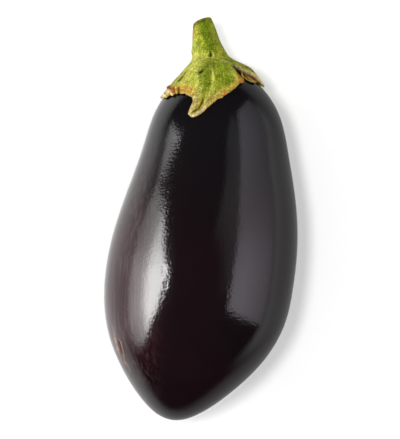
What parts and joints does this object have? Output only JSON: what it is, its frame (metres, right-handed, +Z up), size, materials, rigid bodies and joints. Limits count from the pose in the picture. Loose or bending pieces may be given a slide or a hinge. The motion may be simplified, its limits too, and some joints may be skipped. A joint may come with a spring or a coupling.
{
  "type": "eggplant",
  "caption": "Whole glossy dark purple eggplant lying on its side, swelling towards its blossom end, with a green sepalled calyx over its crown and a short cut stem.",
  "frame": {"origin": "centre of the small flat spot that the fruit rests on, straight below its weight", "axes": "+Z up, +Y along the fruit towards the stem, +X to the right when it is seen from above with the stem away from the viewer"},
  "size_m": [0.0972, 0.2021, 0.0917],
  "materials": {
    "skin": "waxy, glossy natural skin",
    "calyx": "matt green plant tissue, dry and tan along its edge"
  },
  "bodies": {
    "root": {"fruit": "skin", "calyx_and_stem": "calyx"}
  },
  "joints": []
}
